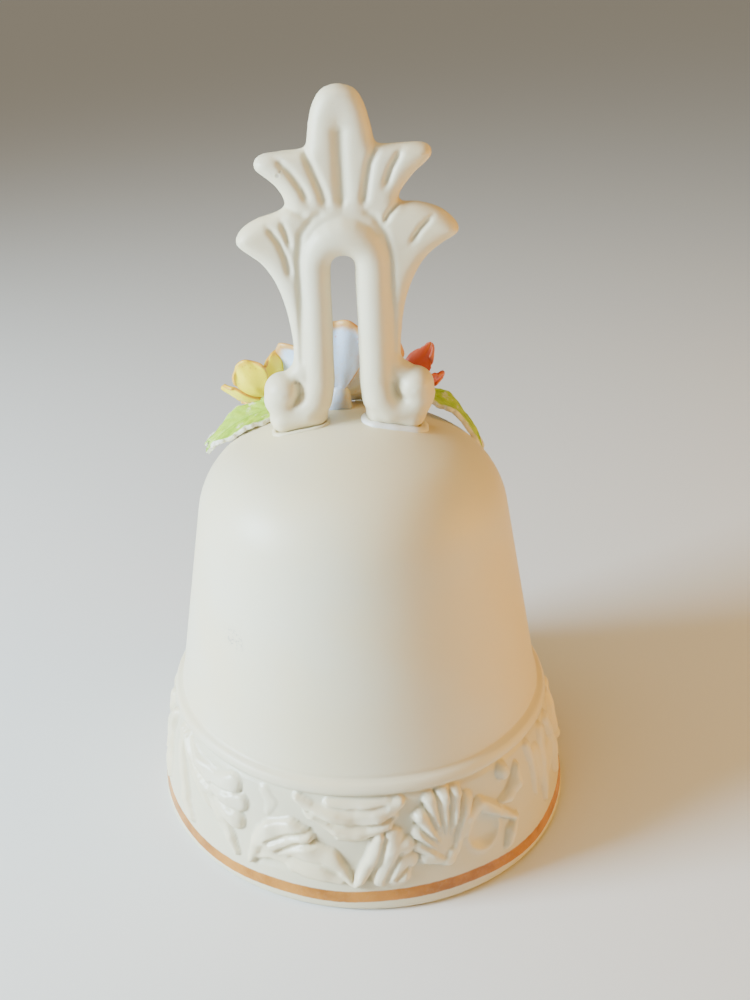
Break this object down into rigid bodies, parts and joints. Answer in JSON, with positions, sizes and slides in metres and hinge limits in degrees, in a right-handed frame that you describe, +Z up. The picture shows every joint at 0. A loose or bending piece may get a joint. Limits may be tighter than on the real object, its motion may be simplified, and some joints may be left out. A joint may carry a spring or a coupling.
{
  "type": "hand bell",
  "caption": "Porcelain hand bell with a moulded palmette handle, applied clay flowers and leaves on the crown, a relief band at the rim and a bead clapper hung inside.",
  "frame": {"origin": "centre of the rim's circle, on the plane the bell stands on", "axes": "+Z up along the bell's axis to the handle's tip; X across the width of the handle; the plain back faces -Y and the flowers are on the +Y side"},
  "size_m": [0.0834, 0.0834, 0.14],
  "materials": {
    "bisque_shell": "matt unglazed porcelain",
    "bisque_handle": "matt unglazed porcelain",
    "rose_glaze": "satin tinted porcelain",
    "yellow_glaze": "satin tinted porcelain",
    "red_glaze": "satin tinted porcelain",
    "leaf_glaze": "satin tinted porcelain",
    "steel_wire": "drawn wire",
    "bead_glaze": "clear glaze"
  },
  "bodies": {
    "bell": {"bell_shell": "bisque_shell", "handle": "bisque_handle", "slip_left": "bisque_handle", "slip_right": "bisque_handle", "rose_core": "rose_glaze", "rose_inner_petal_1": "rose_glaze", "rose_inner_petal_2": "rose_glaze", "rose_inner_petal_3": "rose_glaze", "rose_outer_petal_1": "rose_glaze", "rose_outer_petal_2": "rose_glaze", "rose_outer_petal_3": "rose_glaze", "rose_outer_petal_4": "rose_glaze", "rose_outer_petal_5": "rose_glaze", "yellow_core": "yellow_glaze", "yellow_petal_1": "yellow_glaze", "yellow_petal_2": "yellow_glaze", "yellow_petal_3": "yellow_glaze", "yellow_petal_4": "yellow_glaze", "yellow_petal_5": "yellow_glaze", "red_core": "red_glaze", "red_petal_1": "red_glaze", "red_petal_2": "red_glaze", "red_petal_3": "red_glaze", "red_petal_4": "red_glaze", "red_petal_5": "red_glaze", "leaf_left": "leaf_glaze", "leaf_right": "leaf_glaze", "leaf_front_left": "leaf_glaze", "leaf_front_right": "leaf_glaze", "clapper_lug": "bisque_shell"},
    "link": {"wire_link": "steel_wire"},
    "pin": {"eye_pin": "steel_wire"},
    "bead": {"clapper_bead": "bead_glaze"}
  },
  "joints": [
    {"name": "link_swing", "type": "hinge", "parent": "bell", "child": "link", "pos_m": [0, 0, 0.0695], "axis": [1, 0, 0], "range_deg": [-26.5, 26.5]},
    {"name": "clapper_swing", "type": "hinge", "parent": "link", "child": "pin", "pos_m": [0, 0, 0.05105], "axis": [0, 1, 0], "range_deg": [-24, 24]},
    {"name": "bead_spin", "type": "hinge", "parent": "pin", "child": "bead", "pos_m": [0, 0, 0.024], "axis": [0, 0, 1], "continuous": true}
  ]
}
